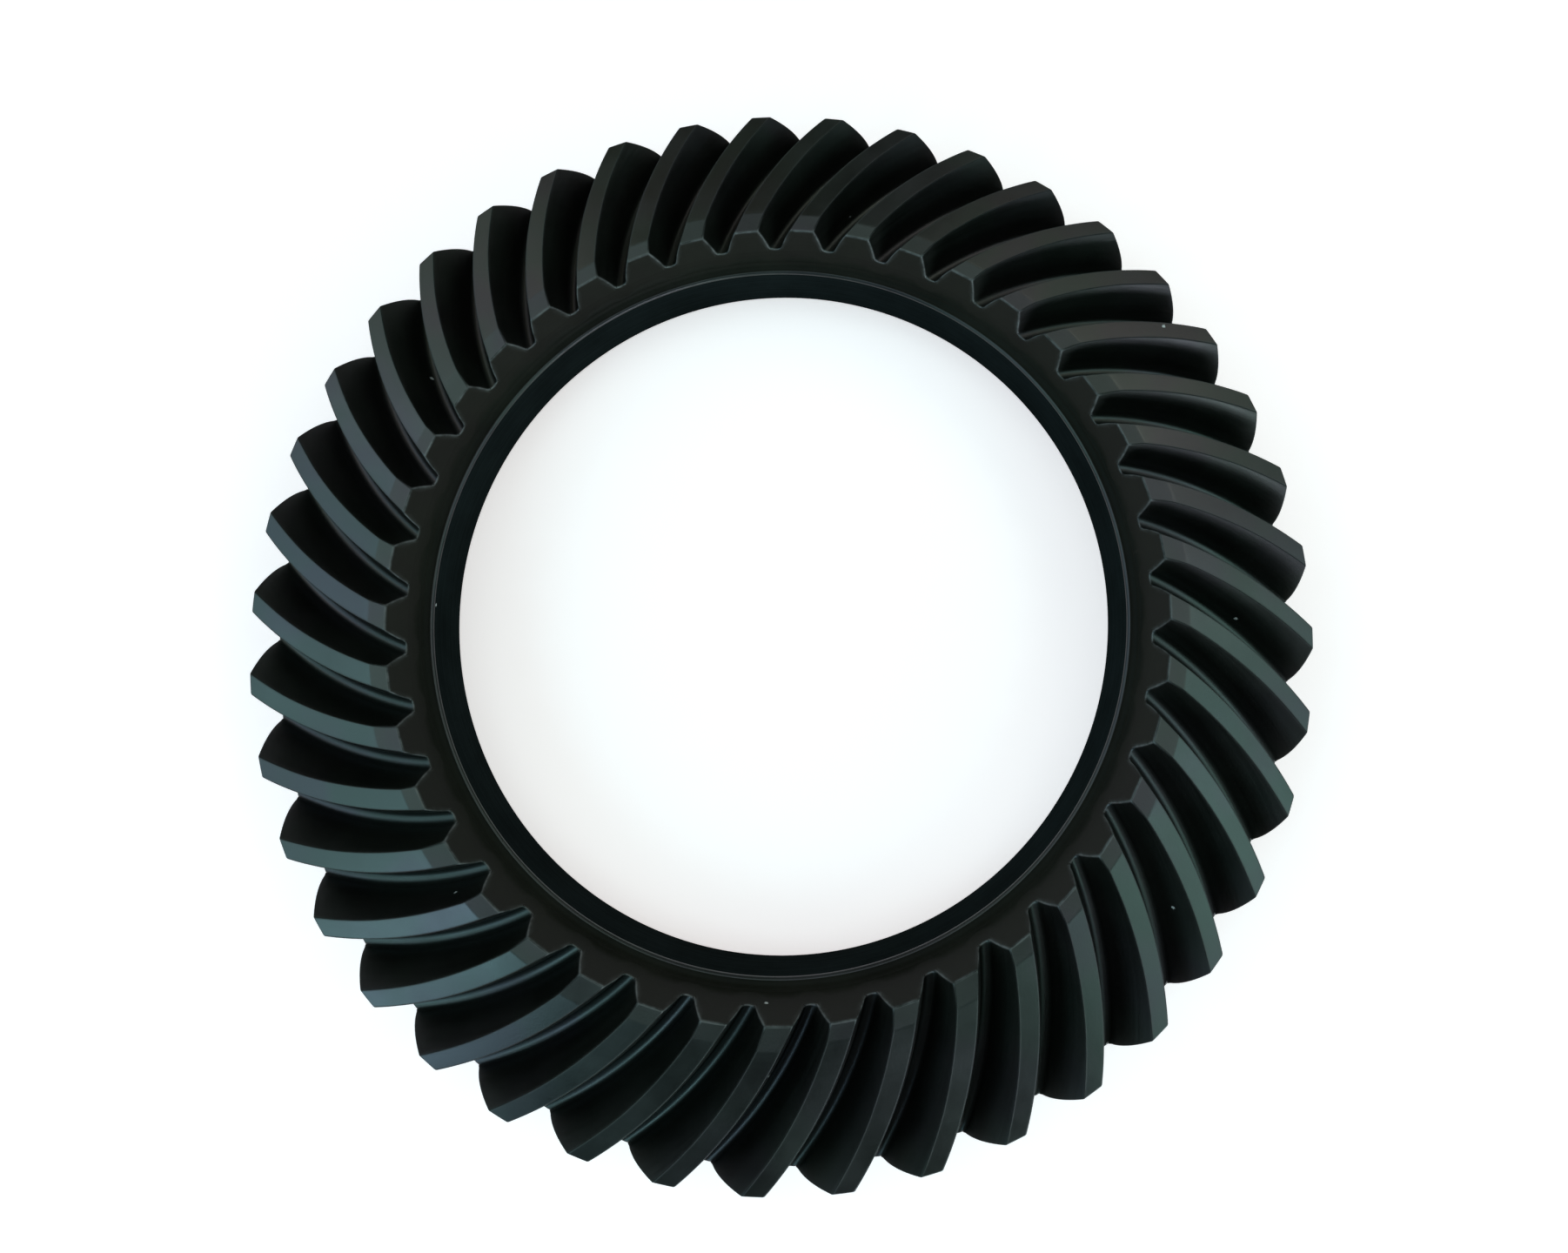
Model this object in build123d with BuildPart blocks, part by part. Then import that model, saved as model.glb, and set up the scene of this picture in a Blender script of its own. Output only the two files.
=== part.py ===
from math import cos, radians, sin, tan
import os

from build123d import *

# Spiral bevel crown wheel, 41 teeth, right-hand spiral. Millimetres, +Z up.
# Origin: on the axis, in the flat mounting face at the back. The teeth look up.

# ---- driving dimensions -------------------------------------------------
tooth_count = 41
outside_radius = 100.0          # tooth tips at the heel
crown_height = 20.0             # mounting face to the heel tips
face_slope = 13.7               # degrees below level, tips fall outwards
root_slope = 18.2               # degrees below level, roots fall outwards
heel_depth = 9.1                # tooth depth measured down the back cone
back_cone_angle = 7.5           # back cone, degrees from the axis
toe_tip_radius = 71.9           # inner end of the teeth
toe_flat_radius = 74.3          # where the levelled toe corner begins
toe_cone_angle = 17.3           # inner cone under the toe, degrees from the axis
bore_radius = 66.8              # pilot bore
lip_height = 15.8               # mounting face to the lip round the bore
lip_round = 0.7
recess_round = 1.4              # hollow corner between the inner cone and the lip
back_chamfer = 1.0              # bore edge at the mounting face
rim_radius = 98.2               # plain cylinder under the back cone
rim_foot_radius = 95.4          # outer edge of the mounting face
rim_foot_height = 3.4

# Face-mill cutters. Each side of a tooth space is finished by its own cutter.
mean_radius = 86.0              # middle of the face width, on the root cone
blade_tip_round = 0.9
blade_tip_width = 2.1
blade_reach = 9.6               # how far the cutter stands above the root
concave_blade_angle = 23.6      # degrees from the cutter axis, taken along the chord
concave_blade_sag = 0.45        # how far the curved cutting edge stands off that chord
convex_blade_angle = 20.1
convex_blade_sag = 0.45
concave_cutter_radius = 76.2
concave_spiral = 32.0           # degrees at the mean radius
convex_cutter_radius = 73.7
convex_spiral = 33.5
space_width = 2.53              # across the bottom of a space at the mean radius
cutter_sweep = 44.0             # degrees of the cutter circle that are needed
index_angle = 0.80              # turn of the first tooth space about the axis

# Tapped holes in the mounting face, for the bolts from the carrier flange
bolt_count = 10
bolt_circle_radius = 80.0
tapping_radius = 4.4
tapping_depth = 11.0
tapping_mouth_radius = 4.7

os.makedirs("parts", exist_ok=True)

# ---- values worked out from them ----------------------------------------
heel_root_radius = outside_radius - heel_depth * sin(radians(back_cone_angle))
heel_root_height = crown_height - heel_depth * cos(radians(back_cone_angle))
back_cone_foot = crown_height - (outside_radius - rim_radius) / tan(radians(back_cone_angle))
toe_flat_height = crown_height + (outside_radius - toe_flat_radius) * tan(radians(face_slope))
inner_cone_height = toe_flat_height - lip_height
recess_corner_radius = toe_tip_radius - inner_cone_height * tan(radians(toe_cone_angle))
mean_root_height = heel_root_height + (heel_root_radius - mean_radius) * tan(radians(root_slope))


def blank_profile():
    """Half section of the turned blank: X is the radius, Y the height."""
    with BuildSketch(Plane.XZ) as section:
        with BuildLine():
            Polyline(
                (bore_radius, back_chamfer),
                (bore_radius + back_chamfer, 0),
                (rim_foot_radius, 0),
                (rim_radius, rim_foot_height),
                (rim_radius, back_cone_foot),
                (outside_radius, crown_height),
                (toe_flat_radius, toe_flat_height),
                (toe_tip_radius, toe_flat_height),
                (recess_corner_radius, lip_height),
                (bore_radius, lip_height),
                close=True,
            )
        make_face()
        recess_corner = section.vertices().sort_by_distance((recess_corner_radius, lip_height))[0]
        fillet(recess_corner, radius=recess_round)
        lip_corner = section.vertices().sort_by_distance((bore_radius, lip_height))[0]
        fillet(lip_corner, radius=lip_round)
    return section.sketch


def cutter_sweep_part(tip_radius, spiral, side, blade_angle, blade_sag):
    """The band swept by one face-mill cutter.

    The cutter axis stands square on the root cone at the mean radius. Side is
    +1 for the cutter whose outer blades leave the concave flank, and -1 for
    the one whose inner blades leave the convex flank.
    """
    root = Plane(
        origin=(mean_radius, 0, mean_root_height),
        x_dir=(cos(radians(root_slope)), 0, -sin(radians(root_slope))),
        z_dir=(sin(radians(root_slope)), 0, cos(radians(root_slope))),
    )
    centre_x = -tip_radius * sin(radians(spiral))
    centre_y = side * space_width / 2 - tip_radius * cos(radians(spiral))
    start = radians(90 - spiral - cutter_sweep / 2)
    centre = root.from_local_coords(Vector(centre_x, centre_y, 0))
    ray_end = root.from_local_coords(Vector(centre_x + cos(start), centre_y + sin(start), 0))
    ray = ray_end - centre
    blade_plane = Plane(origin=centre, x_dir=ray, z_dir=ray.cross(root.z_dir))

    other_radius = tip_radius - side * blade_tip_width
    top_radius = tip_radius + side * blade_reach * tan(radians(blade_angle))
    middle_radius = (tip_radius + top_radius) / 2 - side * blade_sag
    with BuildPart() as band:
        with BuildSketch(blade_plane) as blade:
            with BuildLine():
                Polyline((top_radius, blade_reach), (other_radius, blade_reach), (other_radius, 0), (tip_radius, 0))
                ThreePointArc((tip_radius, 0), (middle_radius, blade_reach / 2), (top_radius, blade_reach))
            make_face()
            tips = blade.vertices().group_by(Axis(centre, root.z_dir))[0]
            fillet(tips, radius=blade_tip_round)
        revolve(axis=Axis(centre, root.z_dir), revolution_arc=cutter_sweep)
    return band.part


concave_band = cutter_sweep_part(
    concave_cutter_radius, concave_spiral, 1, concave_blade_angle, concave_blade_sag
)
convex_band = cutter_sweep_part(
    convex_cutter_radius, convex_spiral, -1, convex_blade_angle, convex_blade_sag
)

with BuildPart() as tooth_space:
    add(concave_band)
    add(convex_band)

# ---- crown wheel: one forging, turned, face-milled, drilled and tapped -----
with BuildPart() as crown_wheel:
    add(blank_profile())
    revolve(axis=Axis.Z)
    with PolarLocations(0, tooth_count, start_angle=index_angle):
        add(tooth_space.part, mode=Mode.SUBTRACT)
    with Locations(Plane(origin=(0, 0, 0), z_dir=(0, 0, -1))):
        with PolarLocations(bolt_circle_radius, bolt_count):
            CounterSinkHole(tapping_radius, tapping_mouth_radius, depth=tapping_depth)

crown_wheel.part.label = "crown_wheel"
export_step(crown_wheel.part, "parts/crown_wheel.step")
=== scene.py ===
import math

import bpy
import numpy as np
from mathutils import Matrix, Vector
from mathutils.geometry import delaunay_2d_cdt


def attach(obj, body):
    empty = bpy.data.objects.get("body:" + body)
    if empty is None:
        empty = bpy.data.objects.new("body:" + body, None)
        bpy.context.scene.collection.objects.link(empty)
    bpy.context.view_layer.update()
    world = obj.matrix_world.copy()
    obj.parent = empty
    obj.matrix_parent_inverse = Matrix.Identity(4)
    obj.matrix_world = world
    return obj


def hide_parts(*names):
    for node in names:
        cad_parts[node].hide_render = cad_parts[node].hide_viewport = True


# Spiral bevel crown wheel. The wheel is one forging, so it is one piece. Its mesh is made here
# from the same cutter and blank dimensions as the CAD part, with rounded edges, hand-levelled
# toe corners, a slightly bellied heel and threads in the bolt holes. Lengths are in millimetres
# until the mesh is made, which is in metres.

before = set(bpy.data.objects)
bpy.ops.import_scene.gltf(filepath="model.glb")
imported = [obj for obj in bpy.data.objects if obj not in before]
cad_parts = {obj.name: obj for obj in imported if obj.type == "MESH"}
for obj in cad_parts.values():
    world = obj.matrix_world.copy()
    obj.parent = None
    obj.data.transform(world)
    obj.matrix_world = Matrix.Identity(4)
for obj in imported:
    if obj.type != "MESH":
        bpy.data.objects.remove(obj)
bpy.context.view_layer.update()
rng = np.random.default_rng(41)
MM = 0.001

# ---- blank ------------------------------------------------------------------
TEETH = 41
PITCH = 2 * math.pi / TEETH
FIRST_SPACE = math.radians(0.80)
OUTSIDE_RADIUS = 100.0
CROWN_HEIGHT = 20.0
FACE_SLOPE = math.radians(13.7)
ROOT_SLOPE = math.radians(18.2)
HEEL_DEPTH = 9.1
BACK_CONE = math.radians(7.5)
TOE_TIP_RADIUS = 71.9
TOE_FLAT_RADIUS = 74.3
TOE_CONE = math.radians(17.3)
BORE_RADIUS = 66.8
LIP_HEIGHT = 15.8
LIP_ROUND = 0.7
RECESS_ROUND = 1.4
BACK_CHAMFER = 1.0
RIM_RADIUS = 98.2
RIM_FOOT_RADIUS = 95.4
RIM_FOOT_HEIGHT = 3.4
TOE_FLAT_HEIGHT = CROWN_HEIGHT + (OUTSIDE_RADIUS - TOE_FLAT_RADIUS) * math.tan(FACE_SLOPE)

# ---- cutters, side +1 leaves the concave flank and side -1 the convex one ------
MEAN_RADIUS = 86.0
CUTTER_RADIUS = {1: 76.2, -1: 73.7}
SPIRAL = {1: math.radians(32.0), -1: math.radians(33.5)}
BLADE_ANGLE = {1: math.radians(23.6), -1: math.radians(20.1)}
BLADE_SAG = 0.45
HEEL_BELLY = 0.4                # extra curve of the concave flank towards the heel
BLADE_REACH = 9.6
SPACE_WIDTH = 2.53
FILLET = 0.9
EDGE_ROUND = 0.05
HEEL_ROUND = 0.14               # added to EDGE_ROUND at the heel, fading over HEEL_FADE
HEEL_FADE = 1.5
TOE_ROUND = 0.26                # added to EDGE_ROUND at the toe, fading over TOE_FADE
TOE_FADE = 0.9

# ---- edge wear, which at the toe also paints a highlight along the edges ------------
WEAR_AND_HIGHLIGHT_WIDTH = 0.22
# Away from the toe the light edge colour is wear; at the toe it is wear and a painted highlight.
WEAR_AND_HIGHLIGHT_AWAY = 0.03                # wear of the edges away from the toe, 1 is at the toe
WEAR_AND_HIGHLIGHT_FADE = 0.45
DULL_WIDTH = 0.12

# ---- bolt holes in the back -------------------------------------------------------
BOLTS = 10
BOLT_CIRCLE = 80.0
TAP_RADIUS = 4.4
TAP_MOUTH = 4.7
TAP_DEPTH = 11.0
THREAD_PITCH = 1.25
THREAD_DEPTH = 0.55
THREAD_RUN_OUT = 2.0
SINK_ANGLE = math.radians(41)
HOLE_SIDES = 40

# ---- rounds of the iterative solvers --------------------------------------------------
FLANK_ROUNDS = 12
CORNER_ROUNDS = 25
TIP_ROUNDS = 40
PROJECT_ROUNDS = 9
TURN_STEP = 1e-5

# ---- kinds of column across a tooth space, and finishes in the order of FINISHES --------
LAND_BEFORE, CONVEX, ROOT, CONCAVE, LAND_AFTER = range(5)
(FLANK_FINISH, LAND_FINISH, BORE_FINISH, BACK_FINISH, THREAD_FINISH, HOLLOW_FINISH, LIP_AND_HIGHLIGHT_FINISH,
 ROOT_FINISH) = range(8)


def station_radius(q, z):
    """Radius at height z on station q: 0 is the toe cone, 1 the back cone."""
    toe = TOE_TIP_RADIUS - (TOE_FLAT_HEIGHT - z) * math.tan(TOE_CONE)
    heel = OUTSIDE_RADIUS - (CROWN_HEIGHT - z) * math.tan(BACK_CONE)
    return toe + q * (heel - toe)


def tip_height(r):
    return np.minimum(CROWN_HEIGHT + (OUTSIDE_RADIUS - r) * math.tan(FACE_SLOPE), TOE_FLAT_HEIGHT)


heel_root_radius = OUTSIDE_RADIUS - HEEL_DEPTH * math.sin(BACK_CONE)
heel_root_height = CROWN_HEIGHT - HEEL_DEPTH * math.cos(BACK_CONE)
mean_root_height = heel_root_height + (heel_root_radius - MEAN_RADIUS) * math.tan(ROOT_SLOPE)


def space_coords(p):
    """Along, across and above the root plane of the space at azimuth 0."""
    dx = p[..., 0] - MEAN_RADIUS
    dz = p[..., 2] - mean_root_height
    along = dx * math.cos(ROOT_SLOPE) - dz * math.sin(ROOT_SLOPE)
    above = dx * math.sin(ROOT_SLOPE) + dz * math.cos(ROOT_SLOPE)
    return along, p[..., 1], above


def smooth(x, low, high):
    t = np.clip((x - low) / (high - low), 0, 1)
    return t * t * (3 - 2 * t)


def wall_distance(p, side):
    """Distance from one flank, positive in the open space."""
    along, across, above = space_coords(p)
    tip = CUTTER_RADIUS[side]
    centre_along = -tip * math.sin(SPIRAL[side])
    centre_across = side * SPACE_WIDTH / 2 - tip * math.cos(SPIRAL[side])
    rho = np.hypot(along - centre_along, across - centre_across)
    u = above / BLADE_REACH
    sag = BLADE_SAG + (HEEL_BELLY * smooth(along, 2.0, 13.0) if side > 0 else 0.0)
    flare = above * math.tan(BLADE_ANGLE[side]) - sag * 4 * u * (1 - u)
    slope = math.tan(BLADE_ANGLE[side]) - sag * 4 * (1 - 2 * u) / BLADE_REACH
    return side * (tip + side * flare - rho) / np.sqrt(1 + slope * slope)


def round_union(parts, radius):
    total = sum(np.maximum(radius - a, 0) ** 2 for a in parts)
    return np.maximum(radius, np.minimum.reduce(parts)) - np.sqrt(total)


def round_intersection(parts, radius):
    total = sum(np.maximum(radius + a, 0) ** 2 for a in parts)
    return np.minimum(-radius, np.maximum.reduce(parts)) + np.sqrt(total)


def blank_distances(p, drop, lean):
    """Distances outside the face cone, back cone, toe cone and levelled toe."""
    r = np.hypot(p[..., 0], p[..., 1])
    z = p[..., 2]
    face = (z - CROWN_HEIGHT - (OUTSIDE_RADIUS - r) * math.tan(FACE_SLOPE)) * math.cos(FACE_SLOPE)
    back = (r - station_radius(1.0, z)) * math.cos(BACK_CONE)
    toe = (station_radius(0.0, z) - r) * math.cos(TOE_CONE)
    level = z - TOE_FLAT_HEIGHT + drop + lean * (r - TOE_TIP_RADIUS)
    return face, back, toe, level


def space_distance(p):
    """Distance inside the tooth space, with its bottom corners rounded."""
    return round_union([wall_distance(p, 1), wall_distance(p, -1), space_coords(p)[2]], FILLET)


def surface(p, drop, lean):
    """Signed distance to the toothed blank. Drop and lean level the toe corners."""
    space = space_distance(p)
    face, back, toe, level = blank_distances(p, drop, lean)
    edge = (EDGE_ROUND + HEEL_ROUND * np.exp(-((back / HEEL_FADE) ** 2))
            + TOE_ROUND * np.exp(-((toe / TOE_FADE) ** 2)))
    return round_intersection([space, face, back, toe, level], edge)


def gradient(p, drop, lean):
    step = 1e-4
    g = np.empty_like(p)
    for axis in range(3):
        shift = np.zeros(3)
        shift[axis] = step
        g[..., axis] = (surface(p + shift, drop, lean) - surface(p - shift, drop, lean)) / (2 * step)
    return g


def flank_azimuth(side, r, z):
    """Azimuth where a flank has this radius and height."""
    azimuth = np.zeros_like(r)
    for _ in range(FLANK_ROUNDS):
        p = np.stack([r * np.cos(azimuth), r * np.sin(azimuth), z], -1)
        q = np.stack([r * np.cos(azimuth + TURN_STEP), r * np.sin(azimuth + TURN_STEP), z], -1)
        d = wall_distance(p, side)
        azimuth = azimuth - d / ((wall_distance(q, side) - d) / TURN_STEP)
    return azimuth


def root_height(r, azimuth):
    return mean_root_height - (r * np.cos(azimuth) - MEAN_RADIUS) * math.tan(ROOT_SLOPE)


def root_corner(side, q):
    """Azimuth and height where a flank meets the bottom of the space."""
    azimuth = np.zeros_like(q)
    z = np.full_like(q, mean_root_height)
    for _ in range(CORNER_ROUNDS):
        r = station_radius(q, z)
        z = root_height(r, azimuth)
        azimuth = flank_azimuth(side, station_radius(q, z), z)
    return azimuth, z


# ---- grid of one tooth space, from mid land to mid land -----------------------------
face_width = OUTSIDE_RADIUS - TOE_TIP_RADIUS
near_end = np.array([0, .06, .13, .21, .31, .43, .6, .85, 1.2, 1.7])
middle = np.array([2.0, 2.2, 2.4, 2.6, 2.85, 3.1, 3.35, 3.6, 3.85, 4.2, 4.8, 5.6, 6.6])
middle = np.concatenate([middle, np.arange(7.8, face_width - 2.4, 1.25)])
stations = np.concatenate([near_end, middle, (face_width - near_end)[::-1]]) / face_width
land_steps = np.array([1.0, .72, .5, .34, .22, .14, .085, .04, 0])
flank_steps = np.array([0, .008, .018, .03, .045, .065, .09, .13, .19, .27, .36, .46, .56, .66, .75, .82,
                        .87, .91, .94, .965, .985, 1.0])
root_steps = np.array([.08, .2, .35, .5, .65, .8, .92])

tip_z = np.full_like(stations, CROWN_HEIGHT)
for _ in range(TIP_ROUNDS):
    tip_z = tip_height(station_radius(stations, tip_z))
tip_r = station_radius(stations, tip_z)
corner = {side: flank_azimuth(side, tip_r, tip_z) for side in (1, -1)}
base = {side: root_corner(side, stations) for side in (1, -1)}
land_middle = (corner[1] + corner[-1] + PITCH) / 2

columns = []
kinds = []
for f in land_steps:
    azimuth = corner[-1] + f * (land_middle - PITCH - corner[-1])
    columns.append((azimuth, tip_z))
    kinds.append(LAND_BEFORE)
for f in flank_steps[1:]:
    z = tip_z + f * (base[-1][1] - tip_z)
    columns.append((flank_azimuth(-1, station_radius(stations, z), z), z))
    kinds.append(CONVEX)
for f in root_steps:
    azimuth = base[-1][0] + f * (base[1][0] - base[-1][0])
    z = base[-1][1]
    for _ in range(CORNER_ROUNDS):
        z = root_height(station_radius(stations, z), azimuth)
    columns.append((azimuth, z))
    kinds.append(ROOT)
for f in flank_steps[::-1]:
    z = tip_z + f * (base[1][1] - tip_z)
    columns.append((flank_azimuth(1, station_radius(stations, z), z), z))
    kinds.append(CONCAVE)
for f in land_steps[::-1][1:-1]:
    columns.append((corner[1] + f * (land_middle - corner[1]), tip_z))
    kinds.append(LAND_AFTER)
kinds = np.array(kinds)
column_count = len(columns)
col_azimuth = np.array([c[0] for c in columns]).T
col_z = np.array([c[1] for c in columns]).T
col_r = station_radius(stations[:, None], col_z)

# Rows before the toe and past the heel run down the toe cone and the back cone.
down = np.array([.06, .13, .21, .31, .43, .6, .9])
recess_corner = TOE_TIP_RADIUS - (TOE_FLAT_HEIGHT - LIP_HEIGHT) * math.tan(TOE_CONE)
recess_turn = math.pi / 2 - TOE_CONE
recess_tangent = RECESS_ROUND * math.tan(recess_turn / 2)
recess_top = LIP_HEIGHT + recess_tangent * math.cos(TOE_CONE)
rim_top = CROWN_HEIGHT - (OUTSIDE_RADIUS - RIM_RADIUS) / math.tan(BACK_CONE)


def cone_rows(start_z, end_z, q, steps):
    rows = [start_z - d for d in down]
    rows += [rows[-1] + (end_z - rows[-1]) * (i + 1) / steps for i in range(steps)]
    return [(station_radius(q, z), z) for z in rows]


toe_rows = cone_rows(col_z[0], recess_top, 0.0, 4)[::-1]
heel_rows = cone_rows(col_z[-1], rim_top + 0.35, 1.0, 5)


def arc(centre_r, centre_z, radius, start, end, count):
    """Points and outward normals round a corner. A negative radius is a hollow."""
    out = []
    for i in range(count):
        a = start + (end - start) * i / (count - 1)
        sign = 1 if radius > 0 else -1
        out.append((centre_r + abs(radius) * math.cos(a), centre_z + abs(radius) * math.sin(a),
                    sign * math.cos(a), sign * math.sin(a)))
    return out


# Turned profile inside the teeth, listed from the back face up to the toe cone.
inner = [(BORE_RADIUS + BACK_CHAMFER, 0.0, 0.0, -1.0)]
diagonal = math.sqrt(0.5)
for f in (0.0, 0.08, 0.5, 0.92, 1.0):
    inner.append((BORE_RADIUS + BACK_CHAMFER * (1 - f) - 0.002, BACK_CHAMFER * f + 0.002,
                  -diagonal, -diagonal))
for z in np.linspace(BACK_CHAMFER + 0.06, LIP_HEIGHT - LIP_ROUND, 9):
    inner.append((BORE_RADIUS, z, -1.0, 0.0))
inner += arc(BORE_RADIUS + LIP_ROUND, LIP_HEIGHT - LIP_ROUND, LIP_ROUND, math.pi, math.pi / 2, 9)[1:]
recess_centre_r = recess_corner - recess_tangent
inner += arc(recess_centre_r, LIP_HEIGHT + RECESS_ROUND, -RECESS_ROUND, -math.pi / 2, -TOE_CONE, 11)

rim_round = 0.3
outer = [(RIM_RADIUS, rim_top, math.cos(BACK_CONE / 2), math.sin(-BACK_CONE / 2)),
         (RIM_RADIUS, rim_top - 0.35, 1.0, 0.0),
         (RIM_RADIUS, (rim_top + RIM_FOOT_HEIGHT) / 2, 1.0, 0.0),
         (RIM_RADIUS, RIM_FOOT_HEIGHT + rim_round, 1.0, 0.0)]
foot_angle = math.atan2(RIM_RADIUS - RIM_FOOT_RADIUS, RIM_FOOT_HEIGHT)
foot_normal = (math.cos(foot_angle), -math.sin(foot_angle))
half = (math.cos(foot_angle / 2), -math.sin(foot_angle / 2))
outer.append((RIM_RADIUS - 0.02, RIM_FOOT_HEIGHT + 0.02, half[0], half[1]))
for f in (0.1, 0.5, 0.9):
    outer.append((RIM_RADIUS + f * (RIM_FOOT_RADIUS - RIM_RADIUS), RIM_FOOT_HEIGHT * (1 - f), *foot_normal))
outer.append((RIM_FOOT_RADIUS + 0.06, 0.07, *foot_normal))
outer.append((RIM_FOOT_RADIUS - 0.06, 0.02, 0.5, -0.85))
outer.append((RIM_FOOT_RADIUS - 0.25, 0.0, 0.0, -1.0))

# ---- every tooth ---------------------------------------------------------------------
grid_r = np.concatenate([[r for r, _ in toe_rows], col_r, [r for r, _ in heel_rows]])
grid_z = np.concatenate([[z for _, z in toe_rows], col_z, [z for _, z in heel_rows]])
grid_a = np.concatenate([np.repeat(col_azimuth[:1], len(toe_rows), 0), col_azimuth,
                         np.repeat(col_azimuth[-1:], len(heel_rows), 0)])
row_count = grid_r.shape[0]
one = np.stack([grid_r * np.cos(grid_a), grid_r * np.sin(grid_a), grid_z], -1)
points = np.repeat(one[None], TEETH, 0)

tooth_drop = rng.uniform(0.02, 0.34, TEETH)
tooth_lean = rng.uniform(-0.015, 0.045, TEETH)
belongs = (np.arange(TEETH)[:, None] + (kinds[None] >= CONCAVE)) % TEETH
drop = tooth_drop[belongs][:, None, :]
lean = tooth_lean[belongs][:, None, :]
for _ in range(PROJECT_ROUNDS):
    f = surface(points, drop, lean)
    g = gradient(points, drop, lean)
    size = np.maximum((g * g).sum(-1), 0.25)
    points = points - np.clip(f / size, -0.4, 0.4)[..., None] * g
g = gradient(points, drop, lean)
normals = g / np.linalg.norm(g, axis=-1, keepdims=True)

# How near a convex edge each point is, for the wear and painted highlight on the edges, and the lay of the
# cutter marks.
face, back, toe, level = blank_distances(points, drop, lean)
space = space_distance(points)
nearest = np.sort(np.stack([space, face, back, toe, level], -1), -1)
at_toe = np.exp(-((toe / WEAR_AND_HIGHLIGHT_FADE) ** 2))
# Edge wear, strongest along the toe edges, where its light colour also paints the highlight of those edges.
edge_wear_and_highlight = np.exp(-((nearest[..., -2] / WEAR_AND_HIGHLIGHT_WIDTH) ** 2)) * (WEAR_AND_HIGHLIGHT_AWAY + (1 - WEAR_AND_HIGHLIGHT_AWAY) * at_toe)
flank_edge = np.sort(np.stack([space, np.maximum(face, level), back], -1), -1)[..., -2]
edge_dull = np.exp(-((flank_edge / DULL_WIDTH) ** 2)) * (1 - at_toe)
radius_now = np.hypot(points[..., 0], points[..., 1])
in_space = (kinds >= CONVEX) & (kinds <= CONCAVE)
row_index = np.arange(row_count)
on_tooth = (row_index >= len(toe_rows)) & (row_index < row_count - len(heel_rows))
lay_across = np.where(in_space, space_coords(points)[2], radius_now)
lay_across = np.where(on_tooth[None, :, None], lay_across, points[..., 2])
lay_along = np.arctan2(points[..., 1], points[..., 0]) * radius_now


def turn(vectors, angles):
    c, s = np.cos(angles), np.sin(angles)
    return np.stack([vectors[..., 0] * c - vectors[..., 1] * s, vectors[..., 0] * s + vectors[..., 1] * c,
                     vectors[..., 2]], -1)


angles = (FIRST_SPACE + np.arange(TEETH) * PITCH)[:, None, None]
points = turn(points, angles)
normals = turn(normals, angles)


def rings(profile, azimuths):
    """Rows of a turned surface at the columns' own azimuths."""
    p = [np.stack([r * np.cos(azimuths), r * np.sin(azimuths), np.full_like(azimuths, z)], -1)
         for r, z, _, _ in profile]
    n = [np.stack([nr * np.cos(azimuths), nr * np.sin(azimuths), np.full_like(azimuths, nz)], -1)
         for _, _, nr, nz in profile]
    return np.stack(p, 1), np.stack(n, 1)


toe_azimuth = col_azimuth[0][None] + angles[:, 0]
heel_azimuth = col_azimuth[-1][None] + angles[:, 0]
inner_points, inner_normals = rings(inner, toe_azimuth)
outer_points, outer_normals = rings(outer, heel_azimuth)
all_points = np.concatenate([inner_points, points, outer_points], 1)
all_normals = np.concatenate([inner_normals, normals, outer_normals], 1)


n_in, n_out = len(inner), len(outer)
rows_total = all_points.shape[1]
ring_size = TEETH * column_count


def pad(values):
    """Zeros on the turned rows inside and outside the teeth."""
    return np.pad(values, ((0, 0), (n_in, n_out), (0, 0)))


def flat(a):
    """Rows of all teeth end to end."""
    a = np.moveaxis(a, 1, 0)
    return a.reshape(rows_total, ring_size, *a.shape[3:])


across = pad(lay_across)
across[:, :n_in] = np.array([p[1] for p in inner])[None, :, None]
across[:, -n_out:] = np.array([p[1] for p in outer])[None, :, None]
tooth_tag = np.repeat(np.arange(TEETH), column_count)[None].repeat(rows_total, 0).astype(float)

index = np.arange(rows_total * ring_size).reshape(rows_total, ring_size)
following = np.roll(index, -1, 1)
quads = np.stack([index[:-1], index[1:], following[1:], following[:-1]], -1).reshape(-1, 4)

# The finish of each quad follows its row, and on the teeth its column as well.
kind_row = np.tile(kinds, TEETH)
next_kind = np.roll(kind_row, -1)
milled_column = np.tile(in_space, TEETH) | np.roll(np.tile(in_space, TEETH), -1)
root_column = (kind_row == ROOT) | (next_kind == ROOT)
tooth_finish = np.where(root_column, ROOT_FINISH, np.where(milled_column, FLANK_FINISH, LAND_FINISH))
finish = np.zeros((rows_total - 1, ring_size), int)
tooth_first = n_in + len(toe_rows)
tooth_last = rows_total - n_out - len(heel_rows)
lip_row = sum(1 for p in inner if p[1] <= LIP_HEIGHT - LIP_ROUND + 1e-6)
LIP_ROWS = 6
for i in range(rows_total - 1):
    if i < lip_row:
        finish[i] = BORE_FINISH
    elif i < lip_row + LIP_ROWS:
        finish[i] = LIP_AND_HIGHLIGHT_FINISH
    elif i < tooth_first:
        finish[i] = HOLLOW_FINISH
    elif i < tooth_last - 1:
        finish[i] = tooth_finish
    else:
        finish[i] = BACK_FINISH

vertex_list = [flat(all_points).reshape(-1, 3)]
normal_list = [flat(all_normals).reshape(-1, 3)]
fields = {"wear_and_highlight": [flat(pad(edge_wear_and_highlight)).ravel()], "dull": [flat(pad(edge_dull)).ravel()],
          "across": [flat(across).ravel()], "along": [flat(pad(lay_along)).ravel()],
          "tooth": [tooth_tag.ravel()]}
face_list = [tuple(q) for q in quads.tolist()]
finish_list = finish.ravel().tolist()
total = rows_total * ring_size

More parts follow.
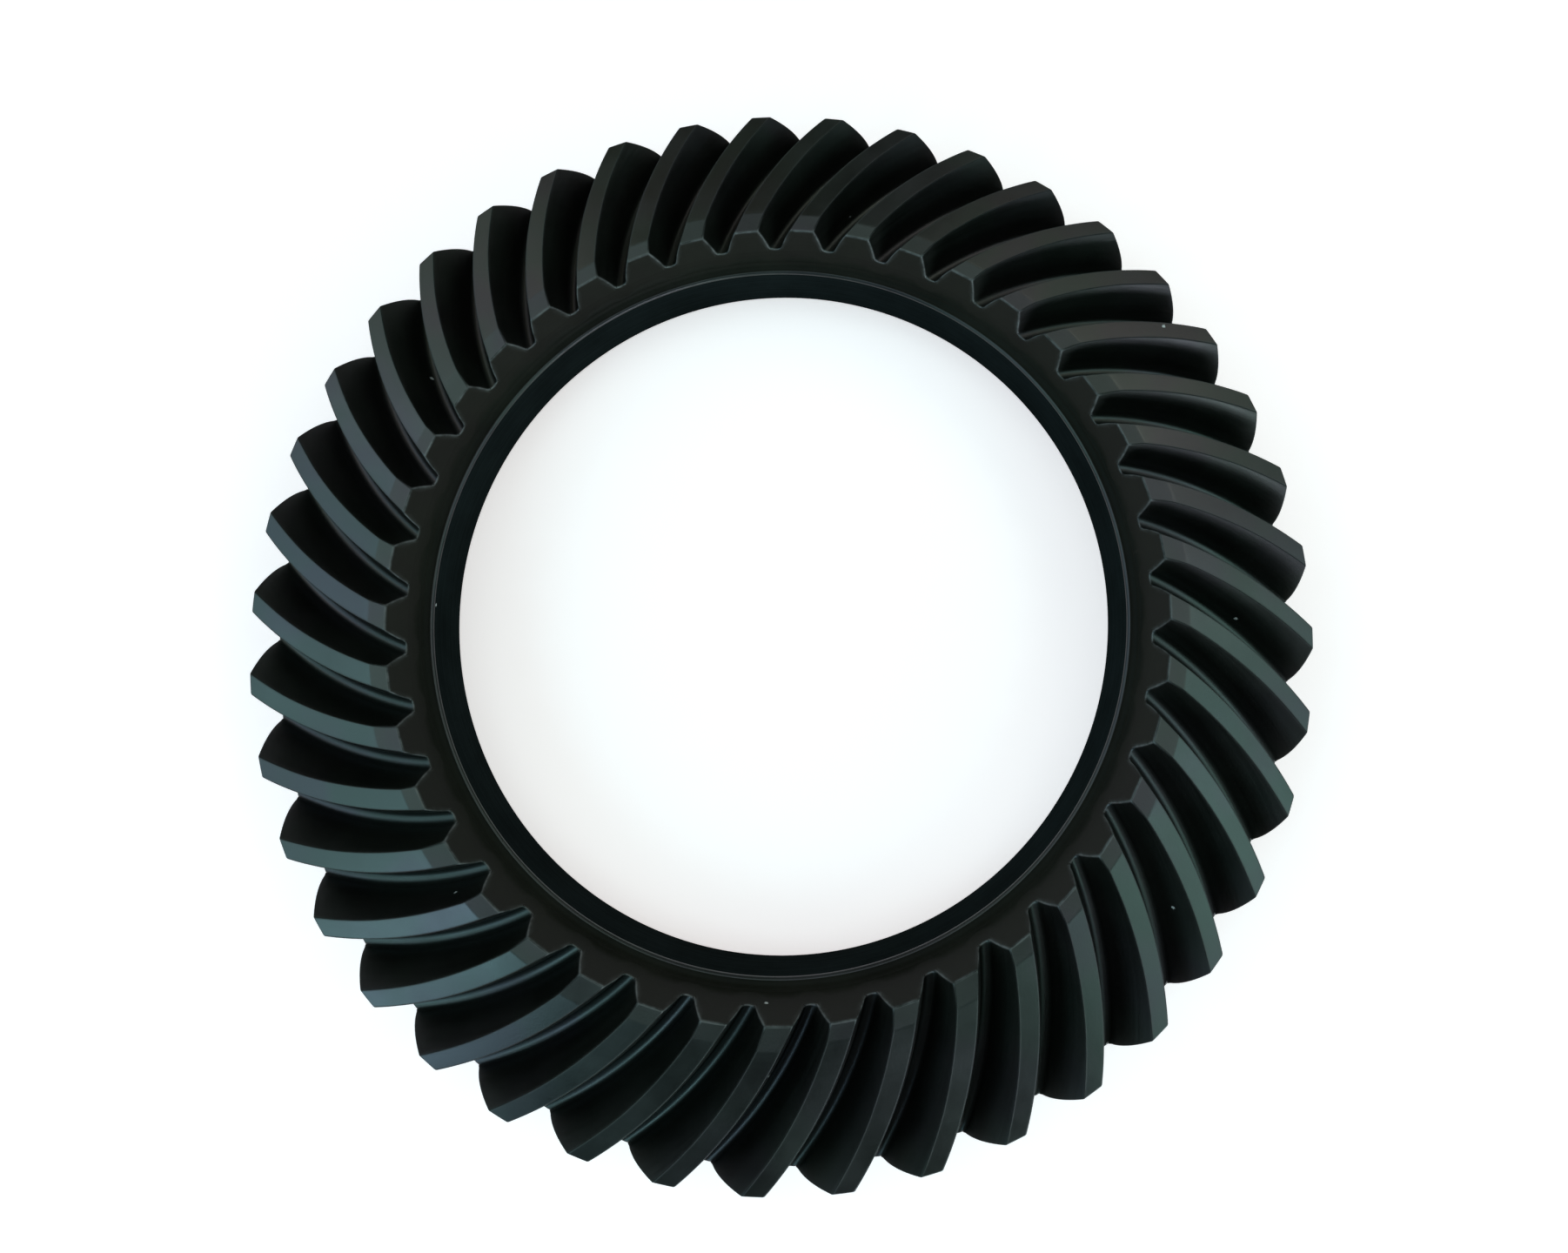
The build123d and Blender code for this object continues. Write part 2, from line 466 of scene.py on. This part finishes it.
# ---- tapped holes -----------------------------------------------------------------------
turns = np.arange(HOLE_SIDES) / HOLE_SIDES * 2 * math.pi
sink_depth = (TAP_MOUTH - TAP_RADIUS) / math.tan(SINK_ANGLE)
depths = [0.0, 0.06, sink_depth]
thread_end = TAP_DEPTH - THREAD_RUN_OUT
thread_step = THREAD_PITCH / 10
depths += list(np.arange(sink_depth + thread_step, thread_end, thread_step))
depths += [thread_end + 0.1, TAP_DEPTH - 0.25, TAP_DEPTH]
mouths = []
for b in range(BOLTS):
    a = 2 * math.pi * b / BOLTS
    cx, cy = BOLT_CIRCLE * math.cos(a), BOLT_CIRCLE * math.sin(a)
    rows = []
    for i, d in enumerate(depths):
        if i == 0:
            r = np.full(HOLE_SIDES, TAP_MOUTH)
        elif d <= sink_depth:
            r = np.full(HOLE_SIDES, TAP_MOUTH - (TAP_MOUTH - TAP_RADIUS) * d / sink_depth)
        elif d <= thread_end:
            phase = (d / THREAD_PITCH - turns / (2 * math.pi)) % 1.0
            tooth = np.clip(1.25 * (1 - np.abs(2 * phase - 1)) - 0.12, 0, 1)
            fade = smooth(d, sink_depth, sink_depth + 0.6) * (1 - smooth(d, thread_end - 1.0, thread_end))
            r = TAP_RADIUS + THREAD_DEPTH * tooth * fade
        elif i == len(depths) - 1:
            r = np.full(HOLE_SIDES, TAP_RADIUS - 0.25)
        else:
            r = np.full(HOLE_SIDES, TAP_RADIUS)
        rows.append(np.stack([cx + r * np.cos(turns), cy + r * np.sin(turns), np.full(HOLE_SIDES, d)], -1))
    rows = np.stack(rows)
    idx = total + np.arange(rows.shape[0] * HOLE_SIDES).reshape(rows.shape[0], HOLE_SIDES)
    nx = np.roll(idx, -1, 1)
    q = np.stack([idx[:-1], idx[1:], nx[1:], nx[:-1]], -1).reshape(-1, 4)
    face_list += [tuple(x) for x in q.tolist()]
    finish_list += [THREAD_FINISH] * len(q)
    centre = total + rows.shape[0] * HOLE_SIDES
    last = idx[-1].tolist()
    for i in range(HOLE_SIDES):
        face_list.append((last[i], centre, last[(i + 1) % HOLE_SIDES]))
        finish_list.append(THREAD_FINISH)
    flat_rows = rows.reshape(-1, 3)
    count = len(flat_rows) + 1
    vertex_list += [flat_rows, np.array([[cx, cy, TAP_DEPTH]])]
    normal_list.append(np.zeros((count, 3)))
    for name in ("wear_and_highlight", "dull", "along"):
        fields[name].append(np.zeros(count))
    fields["across"].append(np.concatenate([flat_rows[:, 2], [TAP_DEPTH]]))
    fields["tooth"].append(np.full(count, float(b)))
    mouths.append(idx[0].tolist())
    total += count

# ---- flat back, between the rim foot, the bore chamfer and the ten mouths -------------------
xyz = np.concatenate(vertex_list)
outer_loop = index[-1].tolist()
inner_loop = index[0].tolist()
loops = [outer_loop, inner_loop] + mouths
ids = [i for loop in loops for i in loop]
flat_points = [Vector((xyz[i, 0], xyz[i, 1])) for i in ids]
edges = []
start = 0
for loop in loops:
    size = len(loop)
    edges += [(start + i, start + (i + 1) % size) for i in range(size)]
    start += size
_, _, tris, _, _, _ = delaunay_2d_cdt(flat_points, edges, [], 0, 1e-7)
sides = [[tuple(sorted((t[i], t[(i + 1) % 3]))) for i in range(3)] for t in tris]
beside = {}
for k, three in enumerate(sides):
    for side in three:
        beside.setdefault(side, []).append(k)
rims = {tuple(sorted(edge)) for edge in edges}
# Steel is every triangle that can be reached from the outer loop without crossing a rim.
seed = next(k for k, t in enumerate(tris) if min(t) < len(outer_loop) <= max(t))
steel_side = {seed}
front = [seed]
while front:
    for side in sides[front.pop()]:
        if side in rims:
            continue
        for k in beside[side]:
            if k not in steel_side:
                steel_side.add(k)
                front.append(k)
for k in sorted(steel_side):
    face_list.append(tuple(ids[i] for i in reversed(tris[k])))
    finish_list.append(BACK_FINISH)

# ---- mesh ---------------------------------------------------------------------------------
mesh = bpy.data.meshes.new("crown_wheel_visual")
mesh.from_pydata((xyz * MM).tolist(), [], face_list)
mesh.validate(verbose=False)
for name, values in fields.items():
    attribute = mesh.attributes.new(name, "FLOAT", "POINT")
    attribute.data.foreach_set("value", np.concatenate(values).astype(np.float32))
mesh.polygons.foreach_set("use_smooth", [True] * len(mesh.polygons))
mesh.polygons.foreach_set("material_index", finish_list)
mesh.update()

wheel = bpy.data.objects.new("crown_wheel_cut", mesh)
bpy.context.scene.collection.objects.link(wheel)

# Grid points have exact normals. The holes are averaged from their faces, and the back is flat.
face_of_loop = np.repeat(np.arange(len(mesh.polygons)), [len(p.vertices) for p in mesh.polygons])
loop_vertex = np.empty(len(mesh.loops), int)
mesh.loops.foreach_get("vertex_index", loop_vertex)
polygon_finish = np.empty(len(mesh.polygons), int)
mesh.polygons.foreach_get("material_index", polygon_finish)
polygon_normal = np.empty(len(mesh.polygons) * 3)
mesh.polygons.foreach_get("normal", polygon_normal)
polygon_normal = polygon_normal.reshape(-1, 3)
polygon_area = np.empty(len(mesh.polygons))
mesh.polygons.foreach_get("area", polygon_area)
vertex_normal = np.concatenate(normal_list)
in_hole = polygon_finish[face_of_loop] == THREAD_FINISH
weighted = polygon_normal * polygon_area[:, None]
np.add.at(vertex_normal, loop_vertex[in_hole], weighted[face_of_loop[in_hole]])
length = np.linalg.norm(vertex_normal, axis=1, keepdims=True)
vertex_normal = vertex_normal / np.maximum(length, 1e-20)
loop_normal = vertex_normal[loop_vertex]
on_back = (face_of_loop >= len(quads)) & ~in_hole
loop_normal[on_back] = (0.0, 0.0, -1.0)
mesh.normals_split_custom_set(loop_normal.tolist())

# ---- finishes --------------------------------------------------------------------------------


class Nodes:
    """A small helper for writing a node tree."""

    def __init__(self, material):
        material.use_nodes = True
        self.tree = material.node_tree
        self.tree.nodes.clear()

    def add(self, kind, **settings):
        node = self.tree.nodes.new(kind)
        for key, value in settings.items():
            setattr(node, key, value)
        return node

    def link(self, source, target):
        self.tree.links.new(source, target)

    def attribute(self, name):
        return self.add("ShaderNodeAttribute", attribute_name=name).outputs["Fac"]

    def math(self, operation, a, b=None, c=None):
        node = self.add("ShaderNodeMath", operation=operation)
        for i, value in enumerate((a, b, c)):
            if value is None:
                continue
            if isinstance(value, (int, float)):
                node.inputs[i].default_value = value
            else:
                self.link(value, node.inputs[i])
        return node.outputs[0]

    def vector(self, x, y, z):
        node = self.add("ShaderNodeCombineXYZ")
        for i, value in enumerate((x, y, z)):
            if isinstance(value, (int, float)):
                node.inputs[i].default_value = value
            else:
                self.link(value, node.inputs[i])
        return node.outputs[0]

    def noise(self, vector, scale, detail=3.0, roughness=0.55):
        node = self.add("ShaderNodeTexNoise")
        node.inputs["Scale"].default_value = scale
        node.inputs["Detail"].default_value = detail
        node.inputs["Roughness"].default_value = roughness
        self.link(vector, node.inputs["Vector"])
        return node.outputs["Fac"]

    def ramp(self, value, stops):
        node = self.add("ShaderNodeValToRGB")
        while len(node.color_ramp.elements) < len(stops):
            node.color_ramp.elements.new(0.5)
        for element, (place, colour) in zip(node.color_ramp.elements, stops):
            element.position = place
            element.color = (*colour, 1.0)
        self.link(value, node.inputs[0])
        return node.outputs[0]

    def remap(self, value, low, high, new_low, new_high):
        node = self.add("ShaderNodeMapRange")
        for i, number in enumerate((low, high, new_low, new_high)):
            node.inputs[i + 1].default_value = number
        self.link(value, node.inputs[0])
        return node.outputs[0]


# Light colour of the worn edges: real wear, and at the toe also a painted highlight along the edges.
WORN_AND_HIGHLIGHT_COLOUR = (0.16, 0.17, 0.17, 1.0)
WORN_AND_HIGHLIGHT_SHARE = 0.85
CHIP_COLOUR = (0.42, 0.44, 0.43, 1.0)
CHIP_SHARE = 0.10               # share of the cells of CHIP_CELLS that hold a chip
CHIP_CELLS = 150.0
CHIP_EDGE = (0.085, 0.105)
CLOUD_ROUGHNESS = 0.05
STREAK_ROUGHNESS = 0.1
DULL_ROUGHNESS = 0.5
GRAIN_DEPTH = 0.00004
TINTS = [(0.42, (0.90, 1.0, 0.93)), (0.50, (0.97, 0.99, 0.98)), (0.58, (1.0, 0.92, 1.0))]


def steel(name, dark, light, rough, gloss, marks, mark_depth, mark_stretch, coordinate, streak):
    """Black phosphate over machined steel, with tool marks, worn edges that carry a painted highlight at
    the toe, and a few chips.
    """
    material = bpy.data.materials.new(name)
    n = Nodes(material)
    position = n.add("ShaderNodeTexCoord").outputs["Object"]
    cloud = n.noise(position, 70.0, 4.0, 0.6)
    grain = n.noise(position, 2600.0, 2.0, 0.6)
    if coordinate == "marks":
        lay = n.vector(n.math("MULTIPLY", n.attribute("across"), marks),
                       n.math("MULTIPLY", n.attribute("along"), mark_stretch),
                       n.math("MULTIPLY", n.attribute("tooth"), 7.3))
    else:
        split = n.add("ShaderNodeSeparateXYZ")
        n.link(position, split.inputs[0])
        x, y, z = split.outputs
        radius = n.math("SQRT", n.math("ADD", n.math("MULTIPLY", x, x), n.math("MULTIPLY", y, y)))
        if coordinate == "turned":
            lay = n.vector(n.math("MULTIPLY", radius, marks * 1000),
                           n.math("MULTIPLY", z, marks * 350), 0.0)
        else:
            lay = n.vector(n.math("MULTIPLY", z, marks * 1000), 0.0, 0.0)
    lines = n.noise(lay, 1.0, 3.0, 0.6)
    patchy = n.remap(n.noise(position, 420.0, 3.0, 0.6), 0.35, 0.65, 0.25, 1.0)
    wear_and_highlight = n.math("MULTIPLY", n.attribute("wear_and_highlight"), patchy)

    mottle = n.math("ADD", n.math("MULTIPLY", cloud, 1 - streak), n.math("MULTIPLY", lines, streak))
    colour = n.ramp(mottle, [(0.35, dark), (0.65, light)])
    # Mix in the worn colour on the edges: partly wear, partly a painted highlight at the toe.
    worn_and_highlight = n.add("ShaderNodeMix", data_type="RGBA")
    worn_and_highlight.inputs["B"].default_value = WORN_AND_HIGHLIGHT_COLOUR
    n.link(n.math("MULTIPLY", wear_and_highlight, WORN_AND_HIGHLIGHT_SHARE), worn_and_highlight.inputs["Factor"])
    n.link(colour, worn_and_highlight.inputs["A"])
    specks = n.add("ShaderNodeTexVoronoi")
    specks.inputs["Scale"].default_value = CHIP_CELLS
    n.link(position, specks.inputs["Vector"])
    picked = n.add("ShaderNodeSeparateColor")
    n.link(specks.outputs["Color"], picked.inputs[0])
    ragged = n.math("MULTIPLY_ADD", n.noise(position, 2400.0, 1.0), 0.09, specks.outputs["Distance"])
    fleck = n.math("MULTIPLY", n.remap(ragged, *CHIP_EDGE, 1.0, 0.0),
                   n.math("GREATER_THAN", picked.outputs[0], 1 - CHIP_SHARE))
    chipped = n.add("ShaderNodeMix", data_type="RGBA")
    chipped.inputs["B"].default_value = CHIP_COLOUR
    n.link(fleck, chipped.inputs["Factor"])
    n.link(worn_and_highlight.outputs["Result"], chipped.inputs["A"])

    shader = n.add("ShaderNodeBsdfPrincipled")
    n.link(chipped.outputs["Result"], shader.inputs["Base Color"])
    spread = STREAK_ROUGHNESS * streak
    roughness = n.math("ADD", n.remap(cloud, 0.3, 0.7, rough - CLOUD_ROUGHNESS, rough + CLOUD_ROUGHNESS),
                       n.remap(lines, 0.3, 0.7, -spread, spread))
    roughness = n.math("MULTIPLY_ADD", n.attribute("dull"), DULL_ROUGHNESS, roughness)
    n.link(roughness, shader.inputs["Roughness"])
    n.link(n.ramp(n.noise(position, 45.0, 2.0), TINTS), shader.inputs["Specular Tint"])
    shader.inputs["Metallic"].default_value = 0.0
    shader.inputs["IOR"].default_value = 1.6
    shader.inputs["Specular IOR Level"].default_value = gloss
    bump_fine = n.add("ShaderNodeBump")
    bump_fine.inputs["Strength"].default_value = 0.25
    bump_fine.inputs["Distance"].default_value = GRAIN_DEPTH
    n.link(grain, bump_fine.inputs["Height"])
    bump = n.add("ShaderNodeBump")
    bump.inputs["Strength"].default_value = 1.0
    bump.inputs["Distance"].default_value = mark_depth * MM
    n.link(lines, bump.inputs["Height"])
    n.link(bump_fine.outputs[0], bump.inputs["Normal"])
    n.link(bump.outputs[0], shader.inputs["Normal"])
    output = n.add("ShaderNodeOutputMaterial")
    n.link(shader.outputs[0], output.inputs[0])
    return material


FINISHES = (
    # name, darker and lighter tint,
    # roughness, gloss, marks per mm, mark depth in mm, stretch of the marks, lay, share of the streaks
    ("milled_flank", (0.0006, 0.0009, 0.0004), (0.0018, 0.0023, 0.0013),
     0.42, 0.32, 3.0, 0.012, 0.05, "marks", 0.40),
    ("turned_face", (0.0070, 0.0078, 0.0072), (0.0120, 0.0135, 0.0125),
     0.32, 0.5, 2.2, 0.0, 0.0, "turned", 0.08),
    ("turned_bore", (0.0044, 0.0060, 0.0060), (0.0100, 0.0145, 0.0150),
     0.40, 0.0, 1.6, 0.010, 0.0, "bore", 0.60),
    ("turned_back", (0.0100, 0.0108, 0.0104), (0.0170, 0.0182, 0.0176),
     0.36, 0.5, 2.5, 0.006, 0.0, "turned", 0.40),
    ("cut_thread", (0.0060, 0.0066, 0.0062), (0.0110, 0.0120, 0.0114),
     0.40, 0.5, 3.0, 0.004, 0.0, "bore", 0.40),
    ("turned_hollow", (0.0060, 0.0062, 0.0044), (0.0122, 0.0126, 0.0094),
     0.50, 0.04, 2.2, 0.006, 0.0, "turned", 0.40),
    # The lip is lighter than the bore and the hollow: turned steel, and partly a painted highlight along
    # the lip's round.
    ("turned_lip_with_painted_highlight", (0.0100, 0.0110, 0.0110), (0.0180, 0.0200, 0.0200),
     0.30, 0.32, 2.2, 0.003, 0.0, "turned", 0.30),
    ("milled_root", (0.0009, 0.0013, 0.0008), (0.0026, 0.0032, 0.0022),
     0.40, 0.46, 3.0, 0.012, 0.05, "marks", 0.40),
)
for finish_facts in FINISHES:
    wheel.data.materials.append(steel(*finish_facts))
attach(wheel, "root")
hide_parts("crown_wheel")

# ---- floor -------------------------------------------------------------------------------------
floor_mesh = bpy.data.meshes.new("floor")
reach = 1.8                     # metres, as far as the light is bright
floor_mesh.from_pydata([(-reach, -reach, 0), (reach, -reach, 0), (reach, reach, 0), (-reach, reach, 0)], [],
                       [(0, 1, 2, 3)])
floor = bpy.data.objects.new("floor", floor_mesh)
bpy.context.scene.collection.objects.link(floor)
floor_finish = bpy.data.materials.new("pale_floor")
n = Nodes(floor_finish)
shader = n.add("ShaderNodeBsdfPrincipled")
shader.inputs["Base Color"].default_value = (0.88, 0.82, 0.82, 1.0)
shader.inputs["Emission Color"].default_value = (1.0, 0.91, 0.91, 1.0)
shader.inputs["Emission Strength"].default_value = 0.52
shader.inputs["Roughness"].default_value = 0.9
shader.inputs["Specular IOR Level"].default_value = 0.0
output = n.add("ShaderNodeOutputMaterial")
n.link(shader.outputs[0], output.inputs[0])
floor_mesh.materials.append(floor_finish)

# ---- light ---------------------------------------------------------------------------------------


def softbox(name, azimuth, elevation, distance, width, height, radiance, colour):
    """A rectangular light aimed at the wheel. Azimuth is from +X towards +Y, in degrees."""
    data = bpy.data.lights.new(name, "AREA")
    data.shape = "RECTANGLE"
    data.size, data.size_y = width, height
    data.energy = radiance * math.pi * width * height
    data.color = colour
    light = bpy.data.objects.new(name, data)
    bpy.context.scene.collection.objects.link(light)
    a, e = math.radians(azimuth), math.radians(elevation)
    direction = Vector((math.cos(a) * math.cos(e), math.sin(a) * math.cos(e), math.sin(e)))
    light.location = direction * distance
    light.rotation_euler = direction.to_track_quat("Z", "Y").to_euler()


RING_DISTANCE = 1.6
RING_LIGHT = (
    # azimuth, elevation, width, height, radiance in red, green and blue
    (135, 38, 0.86, 0.75, (0.82, 0.86, 0.82)),
    (165, 38, 0.86, 0.75, (0.93, 1.46, 1.74)),
    (195, 38, 0.86, 0.75, (0.91, 1.56, 1.66)),
    (217, 38, 0.46, 0.75, (1.80, 3.05, 3.65)),
    (-39, 38, 0.74, 0.75, (1.12, 1.86, 1.76)),
    (-14, 38, 0.76, 0.75, (0.86, 1.42, 1.44)),
    (14, 47, 0.86, 0.42, (1.15, 1.25, 1.15)),
    (44, 46, 0.86, 0.42, (1.42, 1.46, 1.26)),
    (105, 42, 0.80, 0.50, (0.22, 0.22, 0.13)),
)
for i, (azimuth, height_angle, width, height, rgb) in enumerate(RING_LIGHT):
    strength = max(rgb)
    softbox(f"window_{i}", azimuth, height_angle, RING_DISTANCE, width, height, strength,
            tuple(c / strength for c in rgb))
softbox("ceiling", 158, 75, 1.7, 1.2, 1.3, 1.25, (0.78, 0.98, 1.0))
softbox("ceiling_right", -6, 70, 1.7, 0.8, 0.9, 1.02, (0.84, 1.0, 1.0))
softbox("ceiling_far", 68, 68, 1.7, 0.7, 0.6, 0.45, (0.92, 1.0, 1.0))
softbox("low_side", -68, 7, 1.5, 1.10, 0.42, 10.5, (0.80, 0.95, 1.0))

# The room is dark where it is reflected, and pale behind the wheel.
world = bpy.data.worlds.new("room")
bpy.context.scene.world = world
n = Nodes(world)
dim_room = n.add("ShaderNodeBackground")
dim_room.inputs["Color"].default_value = (0.008, 0.009, 0.008, 1.0)
pale_room = n.add("ShaderNodeBackground")
pale_room.inputs["Color"].default_value = (1.0, 1.0, 1.0, 1.0)
seen = n.add("ShaderNodeMixShader")
n.link(n.add("ShaderNodeLightPath").outputs["Is Camera Ray"], seen.inputs[0])
n.link(dim_room.outputs[0], seen.inputs[1])
n.link(pale_room.outputs[0], seen.inputs[2])
n.link(seen.outputs[0], n.add("ShaderNodeOutputWorld").inputs[0])

# ---- camera ------------------------------------------------------------------------------------------
CAMERA_PLACE = (9.27, -13.69, 223.09)
ELEVATION = math.radians(77.4153)
ROLL = math.radians(-4.4068)
camera_data = bpy.data.cameras.new("camera")
camera = bpy.data.objects.new("camera", camera_data)
bpy.context.scene.collection.objects.link(camera)
back_axis = Vector((0.0, -math.cos(ELEVATION), math.sin(ELEVATION)))
right_axis = Vector((1.0, 0.0, 0.0))
up_axis = back_axis.cross(right_axis)
rolled_right = right_axis * math.cos(ROLL) + up_axis * math.sin(ROLL)
rolled_up = up_axis * math.cos(ROLL) - right_axis * math.sin(ROLL)
pose = Matrix((rolled_right, rolled_up, back_axis)).transposed().to_4x4()
pose.translation = Vector(CAMERA_PLACE) * MM
camera.matrix_world = pose
camera_data.sensor_fit = "HORIZONTAL"
camera_data.sensor_width = 36.0
camera_data.lens = 24.443
camera_data.shift_x = -0.01907
camera_data.shift_y = -0.12387
camera_data.clip_start = 0.01
camera_data.dof.use_dof = False
bpy.context.scene.camera = camera
bpy.context.scene.view_settings.view_transform = "Standard"
bpy.context.scene.view_settings.look = "None"
